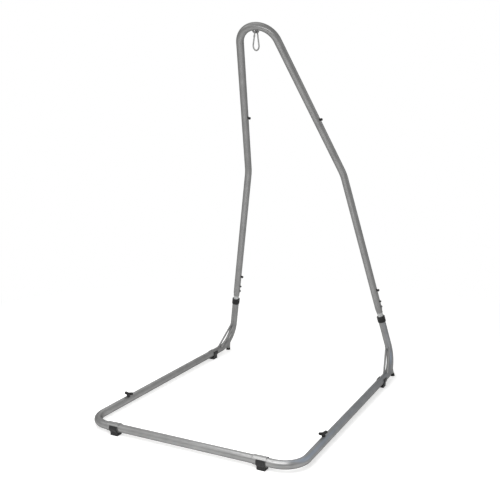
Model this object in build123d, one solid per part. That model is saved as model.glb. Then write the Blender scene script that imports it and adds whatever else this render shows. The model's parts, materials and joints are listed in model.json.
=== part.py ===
from build123d import *
import os
from math import cos, radians, sin, sqrt, tan

# Driving dimensions of a free-standing hanging-chair stand, in millimetres.
# Seen from the front, +X is to the right, +Y to the rear and +Z up; the floor is Z = 0.

# Layout of the tube axes: heights are above the axis of the base tubes,
# setbacks are behind the axis of the front bar
front_half_width = 560.0
rear_half_width = 551.0
base_depth = 1450.0
base_axis_height = 37.0
knee_half_width = 298.0
knee_setback = 1212.0
knee_rise = 1154.0
peak_setback = 501.0
peak_rise = 2227.0

# Main tube and the radii of its bends, taken at the axis
tube_diameter = 40.0
tube_wall = 1.5
corner_bend = 112.0
elbow_bend = 122.0
knee_bend = 150.0
bow_bend = 108.5

# Clearances, each on the radius or on one side
slide_fit = 0.10
turn_fit = 0.06
seat_fit = 0.10
free_gap = 0.40
pin_fit = 0.02

# Plug joints at the two ends of the front bar
bar_socket_wall = 2.5
bar_socket_length = 66.0
bar_flare_length = 6.0
bar_plug_gap = 4.0
left_corner_straight = 3.0
right_plug_show = 28.0

# Spigot joints of the side rails and of the bow
spigot_length = 100.0
spigot_wall = 2.0
shoulder_length = 6.0
rail_seam_setback = 347.0
wing_screw_from_seam = 31.0
bow_seam_from_knee = 299.0
left_bow_screw_from_seam = 90.0
right_bow_screw_from_seam = 69.0

# Telescopic joint of each leg; places are measured from the elbow's corner point
inner_tube_diameter = 33.0
inner_tube_wall = 2.5
inner_tube_start = 170.0
inner_tube_end = 560.0
upright_top = 330.0
leg_end = 360.0
leg_mouth_length = 12.0
leg_neck_length = 12.0
slide_plug_length = 22.0
spacer_length = 20.0
guide_bush_length = 40.0
guide_flange = 3.0
collar_diameter = 47.0
collar_roof = 4.6
collar_skirt = 31.4
collar_groove_depth = 0.8
collar_groove_width = 3.0
collar_groove_count = 3
collar_edge = 2.0

# Fixings on each leg, placed from the elbow's corner point
leg_bolt_place = 398.0
leg_button_place = 431.0
leg_screw_place = 501.0

# Thumb screws
thumb_stud_diameter = 6.0
thumb_head_diameter = 14.0
thumb_head_length = 12.5
thumb_scallops = 6
thumb_scallop_diameter = 4.2
stud_in_head = 6.0
nut_length = 8.0
nut_diameter = 12.0
stud_past_nut = 1.0

# Spring buttons
button_diameter = 11.0
button_stand_out = 8.0
button_flange_diameter = 15.0
button_flange = 2.0
button_play = 0.3
button_spring_width = 8.0
button_spring_strip = 1.0
button_spring_reach = 42.0
button_spring_tail = 8.0

# Hexagon bolts
bolt_diameter = 6.0
bolt_head_across = 10.0
bolt_head_height = 4.0
washer_diameter = 14.0
washer_thickness = 1.2

# Wing screws
wing_stud_diameter = 8.0
wing_nut_diameter = 15.0
wing_hub_diameter = 17.0
wing_hub_height = 12.5
stud_in_wing = 8.0
wing_span = 40.0
wing_height = 19.5
wing_lobe_diameter = 10.0
wing_thickness = 6.0
wing_tilt = 12.0
left_wing_turn = 30.0
right_wing_turn = 45.0

# Braces and heels at the rear elbows
brace_diameter = 11.0
brace_half_spacing = 11.0
brace_up_from_elbow = 150.0
brace_along_from_elbow = 172.0
heel_diameter = 22.0
heel_wall = 2.0
heel_out = 14.0
heel_back = 12.0
heel_cap_wall = 2.0
heel_cap_floor = 6.0
heel_cap_depth = 10.0

# Clip feet
foot_length = 44.0
foot_wall = 4.5
foot_grip_rise = 14.0
foot_block_length = 42.0
foot_block_width = 36.0
foot_block_edge = 2.0
front_foot_from_corner = 165.0
rear_foot_from_elbow = 245.0

# Hanging eye and snap hook under the bow
eye_wire = 9.0
eye_half_width = 15.0
eye_gap = 10.0
eye_bend = 10.0
hook_wire = 7.5
hook_length = 103.0
hook_top_bend = 10.5
hook_bottom_bend = 22.5
hook_turn = 13.0
hook_play = 0.3
gate_diameter = 7.5
gate_tang_thickness = 3.0
gate_tang_width = 6.5
gate_pin_diameter = 3.0
gate_pin_from_shoulder = 6.0
gate_share = 0.8
gate_slot_clearance = 0.2
nose_length = 7.0
nose_gap = 1.0
gate_spring_diameter = 3.0
gate_spring_length = 14.0

# Sizes that follow from the driving dimensions
tube_r = tube_diameter / 2
bore_r = tube_r - tube_wall
spigot_r = bore_r - seat_fit
spigot_bore_r = spigot_r - spigot_wall
inner_r = inner_tube_diameter / 2
inner_bore_r = inner_r - inner_tube_wall
socket_bore_r = tube_r + slide_fit
socket_r = socket_bore_r + bar_socket_wall
sides = {"left": -1, "right": 1}
up = Vector(0, 0, 1)


def front_corner(side):
    return Vector(side * front_half_width, 0, base_axis_height)


def elbow_corner(side):
    return Vector(side * rear_half_width, base_depth, base_axis_height)


def knee_corner(side):
    return Vector(side * knee_half_width, knee_setback, base_axis_height + knee_rise)


peak = Vector(0, peak_setback, base_axis_height + peak_rise)


def heading(start, end):
    return (end - start).normalized()


def spot(start, end, distance):
    return start + heading(start, end) * distance


def on_leg(side, distance):
    return spot(elbow_corner(side), knee_corner(side), distance)


def bend_tangent(before, corner, after, radius):
    turn = heading(before, corner).get_angle(heading(corner, after))
    return radius * tan(radians(turn / 2))


def rod(start, end, radius):
    length = (end - start).length
    base = Plane(origin=start, z_dir=heading(start, end))
    return base * Cylinder(radius, length, align=(Align.CENTER, Align.CENTER, Align.MIN))


def pipe(start, end, radius, bore):
    return rod(start, end, radius) - rod(start, end, bore)


def taper(start, end, radius_from, radius_to):
    length = (end - start).length
    base = Plane(origin=start, z_dir=heading(start, end))
    return base * Cone(radius_from, radius_to, length, align=(Align.CENTER, Align.CENTER, Align.MIN))


def bent_rod(points, bend, radius):
    path = FilletPolyline(*points, radius=bend)
    return sweep((path ^ 0) * Circle(radius), path=path)


def bent_pipe(points, bend, radius, bore):
    path = FilletPolyline(*points, radius=bend)
    ring = Circle(radius) - Circle(bore)
    return sweep((path ^ 0) * ring, path=path)


# A reduced end on a tube: it starts at the seam and points along the given heading
def spigot(seam, along):
    tip = seam + along * spigot_length
    root = seam - along * shoulder_length
    return pipe(root, tip, spigot_r, spigot_bore_r) + pipe(root, seam, tube_r, spigot_bore_r)


# A local frame for a fixing: Z points out of the tube, X along the tube
def fixing_plane(place, along, outward):
    return Plane(origin=place, x_dir=along, z_dir=outward)


# The side of a leg that carries its fixings: square to the plane of the knee, towards +X
def fixing_side(side):
    lower = heading(elbow_corner(side), knee_corner(side))
    upper = heading(knee_corner(side), peak)
    normal = lower.cross(upper).normalized()
    return normal if normal.X > 0 else normal * -1


# The place of the screw that joins a leg to the bow
def bow_screw_plane(side):
    from_seam = left_bow_screw_from_seam if side < 0 else right_bow_screw_from_seam
    place = spot(knee_corner(side), peak, bow_seam_from_knee + from_seam)
    return fixing_plane(place, heading(knee_corner(side), peak), fixing_side(side))


def upward_cylinder(plane, radius, low, high):
    on_base = (Align.CENTER, Align.CENTER, Align.MIN)
    return plane * Pos(0, 0, low) * Cylinder(radius, high - low, align=on_base)


def hole(plane, diameter, clearance):
    return upward_cylinder(plane, diameter / 2 + clearance, 0, tube_diameter)


# A nut welded inside a tube of the given bore, with its outer end shaped to the bore
def inner_nut(plane, bore, diameter, stud_diameter, along):
    blank = upward_cylinder(plane, diameter / 2, bore - nut_length, bore)
    inside = rod(plane.origin - along * diameter, plane.origin + along * diameter, bore)
    thread = upward_cylinder(plane, stud_diameter / 2 + turn_fit, 0, tube_diameter)
    return (blank & inside) - thread


def thumb_head(plane):
    low = tube_r + free_gap
    high = low + thumb_head_length
    head = upward_cylinder(plane, thumb_head_diameter / 2, low, high)
    groove_low = low + thumb_head_length / 4
    scallop_circle = thumb_head_diameter / 2 + thumb_scallop_diameter / 4
    for place in PolarLocations(scallop_circle, thumb_scallops):
        head -= upward_cylinder(plane * place, thumb_scallop_diameter / 2, groove_low, high)
    return head - thumb_stud(plane, bore_r, seat_fit)


def thumb_stud(plane, bore, extra=0.0):
    low = bore - nut_length - stud_past_nut
    high = tube_r + free_gap + stud_in_head
    return upward_cylinder(plane, thumb_stud_diameter / 2 + extra, low, high)


nodes = {}

# Front bar: a straight tube, plain at its left end and widened into a socket at its right end
bar_axis = Vector(1, 0, 0)
corner_turn = bend_tangent(front_corner(-1), front_corner(1), elbow_corner(1), corner_bend)
bend_start = front_half_width - corner_turn
left_flare = bend_start - left_corner_straight
left_root = left_flare - bar_flare_length
left_mouth = left_root - bar_socket_length


def bar_point(x):
    return Vector(x, 0, base_axis_height)


bar_mouth = bend_start - right_plug_show
bar_root = bar_mouth - bar_socket_length
bar_tip = -(left_root - bar_plug_gap)
bar_tube_end = bar_root - bar_flare_length


# The widened end of a base tube, from its flare to its mouth
def bar_socket(flare_x, root_x, mouth_x):
    flare = taper(bar_point(flare_x), bar_point(root_x), tube_r, socket_r)
    flare -= taper(bar_point(flare_x), bar_point(root_x), bore_r, socket_bore_r)
    return flare + pipe(bar_point(root_x), bar_point(mouth_x), socket_r, socket_bore_r)


nodes["front_bar"] = pipe(bar_point(bar_tip), bar_point(bar_tube_end), tube_r, bore_r)
nodes["front_bar"] += bar_socket(bar_tube_end, bar_root, bar_mouth)

for name, side in sides.items():
    corner = front_corner(side)
    elbow = elbow_corner(side)
    knee = knee_corner(side)
    along_rail = heading(corner, elbow)
    along_leg = heading(elbow, knee)
    along_top = heading(knee, peak)
    rail_seam = spot(corner, elbow, rail_seam_setback)
    bow_seam = spot(knee, peak, bow_seam_from_knee)
    outward = fixing_side(side)

    # Front corner tube: the left one ends in a socket, the right one plugs into the front bar
    corner_start = bar_point(-left_flare if side < 0 else bar_root + bar_plug_gap)
    front_tube = bent_pipe([corner_start, corner, rail_seam], corner_bend, tube_r, bore_r)
    if side < 0:
        front_tube += bar_socket(-left_flare, -left_root, -left_mouth)

    # Wing screw: leans in over the corner tube and threads into a nut inside the rail's spigot
    wing_place = rail_seam - along_rail * wing_screw_from_seam
    level_across = along_rail.cross(up)
    lean = radians(wing_tilt) * side
    wing_up = up * cos(lean) - level_across * sin(lean)
    wing_plane = Plane(origin=wing_place, x_dir=wing_up.cross(along_rail) * -1, z_dir=wing_up)
    wing_hole = hole(wing_plane, wing_stud_diameter, free_gap)
    nodes[name + "_front_corner"] = front_tube - wing_hole

    # Rear tube: rail, elbow and upright in one piece, with the spigot at its front end
    upright_end = on_leg(side, upright_top)
    rear_points = [rail_seam, elbow, upright_end]
    rear_tube = bent_pipe(rear_points, elbow_bend, tube_r, bore_r)
    rear_tube += spigot(rail_seam, along_rail * -1)
    nodes[name + "_rear_tube"] = rear_tube - wing_hole
    nodes[name + "_wing_nut"] = inner_nut(
        wing_plane, spigot_bore_r, wing_nut_diameter, wing_stud_diameter, along_rail)

    wing_turn = left_wing_turn if side < 0 else right_wing_turn
    wing_low = tube_r + free_gap
    wing_stud_start = spigot_bore_r - nut_length - stud_past_nut
    wing_stud_end = wing_low + stud_in_wing
    nodes[name + "_wing_stud"] = upward_cylinder(
        wing_plane, wing_stud_diameter / 2, wing_stud_start, wing_stud_end)
    lobe_place = (wing_span - wing_lobe_diameter) / 2
    lobe_rise = wing_height - wing_lobe_diameter / 2
    lobe_root = wing_hub_height / 2
    lobe_slope = Vector(lobe_place, lobe_rise - lobe_root)
    wing_face = Sketch()
    for lobe_side in (-1, 1):
        lobe = SlotOverall(lobe_slope.length + wing_lobe_diameter, wing_lobe_diameter)
        lobe_middle = Pos(lobe_side * lobe_place / 2, (lobe_root + lobe_rise) / 2)
        wing_face += lobe_middle * Rot(0, 0, lobe_side * lobe_slope.get_angle(Vector(1, 0))) * lobe
    wings = extrude(Plane.XZ * wing_face, wing_thickness / 2, both=True)
    knob = wing_plane * Pos(0, 0, wing_low) * Rot(0, 0, wing_turn) * wings
    knob += upward_cylinder(wing_plane, wing_hub_diameter / 2, wing_low, wing_low + wing_hub_height)
    stud_seat = wing_stud_diameter / 2 + seat_fit
    nodes[name + "_wing_knob"] = knob - upward_cylinder(wing_plane, stud_seat, 0, wing_stud_end + seat_fit)

    # Brace rods: a pair inside the elbow, each end shaped to the tube that it is welded to
    rear_core = bent_rod(rear_points, elbow_bend, tube_r)
    along_front = along_rail * -1
    across = along_front.cross(along_leg).normalized()
    braces = []
    for brace_side in (-1, 1):
        offset = across * (brace_side * brace_half_spacing)
        foot = elbow + along_front * brace_along_from_elbow + offset
        head = elbow + along_leg * brace_up_from_elbow + offset
        brace = rod(foot, head, brace_diameter / 2) - rear_core
        braces.append(brace.solids().sort_by(SortBy.VOLUME)[-1])
    nodes[name + "_brace_rods"] = Compound(children=braces)

    # Heel: a stub welded under the bend, with a cap that stands on the floor
    middle = (along_front + along_leg).normalized()
    half_turn = radians(along_rail.get_angle(along_leg) / 2)
    bend_middle = elbow + middle * (elbow_bend / cos(half_turn) - elbow_bend)
    floor_point = Vector(bend_middle.X + side * heel_out, bend_middle.Y + heel_back, 0)
    heel_way = heading(bend_middle, floor_point)
    heel_r = heel_diameter / 2
    stub_end = floor_point - heel_way * heel_cap_floor
    heel_stub = pipe(bend_middle, stub_end, heel_r, heel_r - heel_wall)
    nodes[name + "_heel_stub"] = heel_stub - rear_core
    cap_top = stub_end - heel_way * heel_cap_depth
    cap_tip = floor_point + heel_way * heel_diameter
    cap = rod(cap_top, cap_tip, heel_r + seat_fit + heel_cap_wall)
    cap -= rod(cap_top, stub_end, heel_r + seat_fit)
    ground_size = 4 * heel_diameter
    ground = Box(ground_size, ground_size, ground_size, align=(Align.CENTER, Align.CENTER, Align.MAX))
    nodes[name + "_heel_cap"] = cap - Pos(floor_point.X, floor_point.Y, 0) * ground

    # Telescopic joint: the inner tube is fixed in the leg and slides in the upright
    screw_plane = fixing_plane(on_leg(side, leg_screw_place), along_leg, outward)
    button_plane = fixing_plane(on_leg(side, leg_button_place), along_leg, outward)
    bolt_plane = fixing_plane(on_leg(side, leg_bolt_place), along_leg, outward)
    screw_hole = hole(screw_plane, thumb_stud_diameter, free_gap)
    button_hole = hole(button_plane, button_diameter, free_gap)
    bolt_hole = hole(bolt_plane, bolt_diameter, seat_fit)
    inner_tube = pipe(on_leg(side, inner_tube_start), on_leg(side, inner_tube_end), inner_r, inner_bore_r)
    nodes[name + "_inner_tube"] = inner_tube - screw_hole - button_hole - bolt_hole
    plug_end = on_leg(side, inner_tube_start + slide_plug_length)
    nodes[name + "_slide_plug"] = pipe(
        on_leg(side, inner_tube_start), plug_end, bore_r - slide_fit, inner_r + seat_fit)
    spacer_start = on_leg(side, inner_tube_end - spacer_length)
    nodes[name + "_leg_spacer"] = pipe(
        spacer_start, on_leg(side, inner_tube_end), bore_r - seat_fit, inner_r + seat_fit)
    bush_start = on_leg(side, upright_top - guide_bush_length)
    flange_top = on_leg(side, upright_top + guide_flange)
    guide_bore = inner_r + slide_fit
    guide = pipe(bush_start, upright_end, bore_r - seat_fit, guide_bore)
    nodes[name + "_guide_bush"] = guide + pipe(upright_end, flange_top, tube_r, guide_bore)

    # Clamp collar: turns on the top of the upright and covers the bush's flange
    roof_low = upright_top + guide_flange + free_gap
    collar_low = on_leg(side, roof_low - collar_skirt)
    collar_high = on_leg(side, roof_low + collar_roof)
    collar = rod(collar_low, collar_high, collar_diameter / 2)
    collar = chamfer(collar.edges().filter_by(GeomType.CIRCLE), collar_edge)
    groove_pitch = (collar_skirt + collar_roof) / (collar_groove_count + 1)
    for groove in range(collar_groove_count):
        groove_middle = roof_low - collar_skirt + groove_pitch * (groove + 1)
        groove_from = on_leg(side, groove_middle - collar_groove_width / 2)
        groove_to = on_leg(side, groove_middle + collar_groove_width / 2)
        collar -= pipe(groove_from, groove_to, collar_diameter, collar_diameter / 2 - collar_groove_depth)
    collar -= rod(collar_low, on_leg(side, roof_low), tube_r + slide_fit)
    nodes[name + "_collar"] = collar - rod(collar_low, collar_high, inner_r + free_gap)

    # Leg: necked at its lower end round the inner tube, reduced at its top end to enter the bow
    neck_start = leg_end + leg_mouth_length
    neck_end = neck_start + leg_neck_length
    mouth_bore = inner_r + seat_fit
    leg = bent_pipe([on_leg(side, neck_end), knee, bow_seam], knee_bend, tube_r, bore_r)
    neck = taper(on_leg(side, neck_start), on_leg(side, neck_end), mouth_bore + tube_wall, tube_r)
    neck -= taper(on_leg(side, neck_start), on_leg(side, neck_end), mouth_bore, bore_r)
    leg += neck
    leg += pipe(on_leg(side, leg_end), on_leg(side, neck_start), mouth_bore + tube_wall, mouth_bore)
    leg += spigot(bow_seam, along_top)
    bow_plane = bow_screw_plane(side)
    bow_screw_hole = hole(bow_plane, thumb_stud_diameter, free_gap)
    nodes[name + "_leg"] = leg - screw_hole - button_hole - bolt_hole - bow_screw_hole

    # Thumb screws of the leg and of the bow, with their nuts
    nodes[name + "_leg_screw_head"] = thumb_head(screw_plane)
    nodes[name + "_leg_screw_stud"] = thumb_stud(screw_plane, inner_bore_r)
    leg_screw_nut = inner_nut(screw_plane, inner_bore_r, nut_diameter, thumb_stud_diameter, along_leg)
    leg_bolt_nut = inner_nut(bolt_plane, inner_bore_r, nut_diameter, bolt_diameter, along_leg)
    nodes[name + "_leg_nuts"] = Compound(children=[leg_screw_nut.solid(), leg_bolt_nut.solid()])
    nodes[name + "_bow_screw_head"] = thumb_head(bow_plane)
    nodes[name + "_bow_screw_stud"] = thumb_stud(bow_plane, spigot_bore_r)
    nodes[name + "_bow_nut"] = inner_nut(
        bow_plane, spigot_bore_r, nut_diameter, thumb_stud_diameter, along_top)

    # Bolt that holds the inner tube in the leg
    bolt_tip = inner_bore_r - nut_length - stud_past_nut
    washer_top = tube_r + washer_thickness
    bolt = upward_cylinder(bolt_plane, bolt_diameter / 2, bolt_tip, washer_top)
    bolt += upward_cylinder(bolt_plane, washer_diameter / 2, tube_r, washer_top)
    hexagon = RegularPolygon(bolt_head_across / 2, 6, major_radius=False)
    bolt += extrude(bolt_plane * Pos(0, 0, washer_top) * hexagon, bolt_head_height)
    nodes[name + "_leg_bolt"] = bolt

    # Spring button: its flange rests under the inner tube's wall, pushed out by a hairpin strip
    flange_r = button_flange_diameter / 2
    flange_high = sqrt(inner_bore_r ** 2 - flange_r ** 2) - button_play
    flange_low = flange_high - button_flange
    button_top = tube_r + button_stand_out
    button = upward_cylinder(button_plane, button_diameter / 2, flange_low, button_top)
    button = fillet(button.edges().filter_by(GeomType.CIRCLE).sort_by(Axis(
        button_plane.origin, button_plane.z_dir))[-1], button_diameter / 4)
    nodes[name + "_button"] = button + upward_cylinder(button_plane, flange_r, flange_low, flange_high)
    strip_high = flange_low - button_spring_strip / 2
    strip_rest = sqrt(inner_bore_r ** 2 - (button_spring_width / 2) ** 2) - button_play
    strip_low = button_spring_strip / 2 - strip_rest
    strip_bend = (strip_high - strip_low) / 4
    strip_turn = (strip_high + strip_low) / 2
    strip_line = FilletPolyline(
        (-button_spring_tail, strip_high),
        (button_spring_tail, strip_high),
        (button_spring_reach, strip_turn + strip_bend),
        (button_spring_reach, strip_turn - strip_bend),
        (button_spring_tail, strip_low),
        (-button_spring_tail, strip_low),
        radius=strip_bend / 2)
    strip_plane = Plane(origin=button_plane.origin, x_dir=along_leg, z_dir=along_leg.cross(outward))
    strip_face = trace(strip_line, button_spring_strip)
    nodes[name + "_button_spring"] = extrude(strip_plane * strip_face, button_spring_width / 2, both=True)


# Clip foot: a cradle under a base tube, with walls that grip its sides, standing on a block
def clip_foot(place, along, radius):
    section = Plane(origin=place, x_dir=up.cross(along), z_dir=along)
    wall_r = radius + seat_fit + foot_wall
    open_top = Rectangle(4 * wall_r, 2 * wall_r, align=(Align.CENTER, Align.MIN))
    cradle = Circle(wall_r) - Pos(0, foot_grip_rise) * open_top
    block = Rectangle(foot_block_width, base_axis_height, align=(Align.CENTER, Align.MAX))
    foot = extrude(section * block, foot_block_length / 2, both=True)
    foot = chamfer(foot.edges().group_by(Axis.Z)[0], foot_block_edge)
    foot += extrude(section * cradle, foot_length / 2, both=True)
    return foot - extrude(section * Circle(radius + seat_fit), foot_length, both=True)


for name, side in sides.items():
    front_place = bar_point(side * (front_half_width - front_foot_from_corner))
    nodes[name + "_front_foot"] = clip_foot(front_place, bar_axis, socket_r)
    rear_place = spot(elbow_corner(side), front_corner(side), rear_foot_from_elbow)
    nodes[name + "_rear_foot"] = clip_foot(rear_place, heading(rear_place, front_corner(side)), tube_r)

# Bow: one tube bent over the top
bow_ends = [spot(knee_corner(side), peak, bow_seam_from_knee) for side in (-1, 1)]
bow = bent_pipe([bow_ends[0], peak, bow_ends[1]], bow_bend, tube_r, bore_r)
bow_core = bent_rod([bow_ends[0], peak, bow_ends[1]], bow_bend, tube_r)
for side in sides.values():
    bow -= hole(bow_screw_plane(side), thumb_stud_diameter, free_gap)
nodes["bow"] = bow

# Hanging eye: a low staple in the plane of the bow, welded inside its bend
knees_middle = (knee_corner(-1) + knee_corner(1)) * 0.5
bow_down = heading(peak, knees_middle)
half_peak = radians(bow_down.get_angle(heading(peak, knee_corner(1))))
bow_top = peak + bow_down * (bow_bend / sin(half_peak) - bow_bend)
eye_middle = bow_top + bow_down * (tube_r + eye_gap + eye_wire / 2)
eye_side = Vector(eye_half_width, 0, 0)
eye_points = [bow_top - eye_side, eye_middle - eye_side, eye_middle + eye_side, bow_top + eye_side]
nodes["hanging_eye"] = bent_rod(eye_points, eye_bend, eye_wire / 2) - bow_core

# Snap hook: a pear of round wire, drawn in its own plane with the top bend at the origin
hook_r = hook_wire / 2
hook_span = hook_length - hook_wire - hook_top_bend - hook_bottom_bend
hook_lean = (hook_bottom_bend - hook_top_bend) / hook_span
side_normal = Vector(sqrt(1 - hook_lean ** 2), hook_lean)
side_high = side_normal * hook_top_bend
side_low = Vector(0, -hook_span) + side_normal * hook_bottom_bend
side_way = heading(side_high, side_low)
side_length = (side_low - side_high).length
gate_end_gap = side_length * (1 - gate_share)
shoulder = side_high + side_way * gate_end_gap
hook_across = Vector(-sin(radians(hook_turn)), -cos(radians(hook_turn)), 0)
hook_drop = hook_top_bend - hook_r - eye_wire / 2 - hook_play
hook_plane = Plane(
    origin=eye_middle - up * hook_drop, x_dir=hook_across, z_dir=hook_across.cross(up))


def mirrored(point):
    return Vector(-point.X, point.Y)


hook_line = Wire([
    Line(shoulder, side_high),
    ThreePointArc(side_high, Vector(0, hook_top_bend), mirrored(side_high)),
    Line(mirrored(side_high), mirrored(side_low)),
    ThreePointArc(mirrored(side_low), Vector(0, -hook_span - hook_bottom_bend), side_low),
])
hook = sweep((hook_line ^ 0) * Circle(hook_r), path=hook_line)
gate_pin_place = shoulder + side_way * gate_pin_from_shoulder
tang_end = gate_pin_place + side_way * (gate_tang_width / 2)


# A flat tongue in the plane of the hook, between two points of its side
def tongue(start, end, width, thickness):
    frame = Plane(origin=start, x_dir=side_way, z_dir=(0, 0, 1))
    face = Rectangle((end - start).length, width, align=(Align.MIN, Align.CENTER))
    return extrude(frame * face, thickness / 2, both=True)


def cross_pin(diameter, length):
    return Pos(gate_pin_place.X, gate_pin_place.Y) * Cylinder(diameter / 2, length)


hook += tongue(shoulder - side_way * hook_r, tang_end, gate_tang_width, gate_tang_thickness)
nose_end = side_low - side_way * nose_length
hook += tongue(nose_end, side_low + side_way * hook_r, gate_tang_width, gate_tang_thickness)
hook -= cross_pin(gate_pin_diameter + 2 * pin_fit, hook_wire * 2)
nodes["snap_hook"] = hook_plane * hook
nodes["gate_pin"] = hook_plane * cross_pin(gate_pin_diameter, gate_diameter)

# Gate: a round bar, forked over the hinge tang and slotted over the nose
gate_low = side_low - side_way * nose_gap
gate = rod(gate_pin_place, gate_low, gate_diameter / 2)
gate_knuckle = cross_pin(gate_diameter, gate_diameter)
gate += gate_knuckle
slot_width = gate_tang_thickness + 2 * gate_slot_clearance
fork_start = gate_pin_place - side_way * gate_diameter
fork_end = tang_end + side_way * (gate_tang_width / 2)
gate -= tongue(fork_start, fork_end, gate_diameter * 2, slot_width)
nose_slot_start = nose_end - side_way * nose_gap
nose_slot_end = gate_low + side_way * nose_gap
gate -= tongue(nose_slot_start, nose_slot_end, gate_diameter * 2, slot_width)
gate -= cross_pin(gate_pin_diameter + 2 * turn_fit, gate_diameter * 2)
spring_start = fork_end
spring_end = spring_start + side_way * gate_spring_length
gate -= rod(spring_start - side_way * gate_slot_clearance, spring_end, gate_spring_diameter / 2 + seat_fit)
nodes["gate"] = hook_plane * gate
nodes["gate_spring"] = hook_plane * rod(spring_start, spring_end, gate_spring_diameter / 2)

# The origin is on the floor, under the middle of the stand's box
whole = Compound(children=[Compound(shape.solids()) for shape in nodes.values()])
box = whole.bounding_box()
to_origin = Pos(-box.center().X, -box.center().Y, 0)

os.makedirs("parts", exist_ok=True)
for name, shape in nodes.items():
    solids = [to_origin * solid for solid in shape.solids()]
    export_step(Compound(solids) if len(solids) > 1 else solids[0], f"parts/{name}.step")
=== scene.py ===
import json
from math import cos, pi, radians, sin, sqrt, tan
import bmesh
import bpy
from mathutils import Matrix, Vector


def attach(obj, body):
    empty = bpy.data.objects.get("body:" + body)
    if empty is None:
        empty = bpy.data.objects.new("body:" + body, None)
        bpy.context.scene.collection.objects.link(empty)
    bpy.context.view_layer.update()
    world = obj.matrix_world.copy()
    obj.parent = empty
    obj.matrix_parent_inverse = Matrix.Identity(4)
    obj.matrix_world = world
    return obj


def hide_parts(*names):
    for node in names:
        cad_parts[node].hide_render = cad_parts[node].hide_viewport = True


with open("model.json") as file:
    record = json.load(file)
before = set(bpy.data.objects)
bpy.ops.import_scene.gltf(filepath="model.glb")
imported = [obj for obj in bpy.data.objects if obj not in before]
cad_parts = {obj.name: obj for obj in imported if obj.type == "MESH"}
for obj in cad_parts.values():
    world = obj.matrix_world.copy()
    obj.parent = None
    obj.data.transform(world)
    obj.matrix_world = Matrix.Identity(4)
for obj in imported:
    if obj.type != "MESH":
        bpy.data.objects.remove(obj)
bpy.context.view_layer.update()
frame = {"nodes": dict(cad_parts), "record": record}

up = Vector((0, 0, 1))
barWay = Vector((1, 0, 0))
handed = {"left": -1, "right": 1}
mergeDistance = 1e-7  # doubles at seams and poles

layout = {  # tube axes in metres, the same values as the solids
    "frontHalfWidth": 0.560, "rearHalfWidth": 0.551, "baseDepth": 1.450, "axisHeight": 0.037,
    "kneeHalfWidth": 0.298, "kneeSetback": 1.212, "kneeRise": 1.154,
    "peakSetback": 0.501, "peakRise": 2.227, "middle": 0.707906,
}
tube = {
    "radius": 0.020, "wall": 0.0015, "fit": 0.0001, "sides": 64, "lip": 0.0005,
    "hold": 0.001,  # short ring beside a flare, so that the straight run shades evenly
    "cornerBend": 0.112, "elbowBend": 0.122, "kneeBend": 0.150, "bowBend": 0.1085,
    "cornerSteps": 32, "elbowSteps": 36, "kneeSteps": 16, "bowSteps": 56,
    "spigot": 0.100, "railSeam": 0.347, "bowSeam": 0.299, "boreFloor": 0.002,
}
leg = {
    "innerRadius": 0.0165, "innerStart": 0.170, "innerEnd": 0.560, "uprightTop": 0.330,
    "end": 0.360, "mouth": 0.012, "mouthWall": 0.0015, "neck": 0.012, "neckRings": (0.15, 0.5, 0.85, 1.0),
    "bolt": 0.398, "button": 0.431, "screw": 0.501, "bowScrew": {"left": 0.090, "right": 0.069},
}


def atSide(side, halfWidth, setback, rise):
    return Vector((side * halfWidth, setback - layout["middle"], layout["axisHeight"] + rise))


def frontCorner(side):
    return atSide(side, layout["frontHalfWidth"], 0, 0)


def elbowCorner(side):
    return atSide(side, layout["rearHalfWidth"], layout["baseDepth"], 0)


def kneeCorner(side):
    return atSide(side, layout["kneeHalfWidth"], layout["kneeSetback"], layout["kneeRise"])


peak = atSide(0, 0, layout["peakSetback"], layout["peakRise"])


def heading(start, end):
    return (end - start).normalized()


def railWay(side):  # from the front to the rear
    return heading(frontCorner(side), elbowCorner(side))


def legWay(side):  # from the elbow to the knee
    return heading(elbowCorner(side), kneeCorner(side))


def topWay(side):  # from the knee to the peak
    return heading(kneeCorner(side), peak)


def onRail(side, distance):
    return frontCorner(side) + railWay(side) * distance


def onLeg(side, distance):
    return elbowCorner(side) + legWay(side) * distance


def onTop(side, distance):
    return kneeCorner(side) + topWay(side) * distance


def bendTangent(before, corner, after, radius):
    return radius * tan(heading(before, corner).angle(heading(corner, after)) / 2)


def fixingSide(side):
    normal = legWay(side).cross(topWay(side)).normalized()
    return normal if normal.x > 0 else -normal


def placed(origin, xAxis, zAxis):  # local frame of a fixing: z points out of the tube
    turn = Matrix((xAxis, zAxis.cross(xAxis), zAxis)).transposed().to_4x4()
    return Matrix.Translation(origin) @ turn


boreRadius = tube["radius"] - tube["wall"]
spigotRadius = boreRadius - tube["fit"]
print("stage: layout read")


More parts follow.
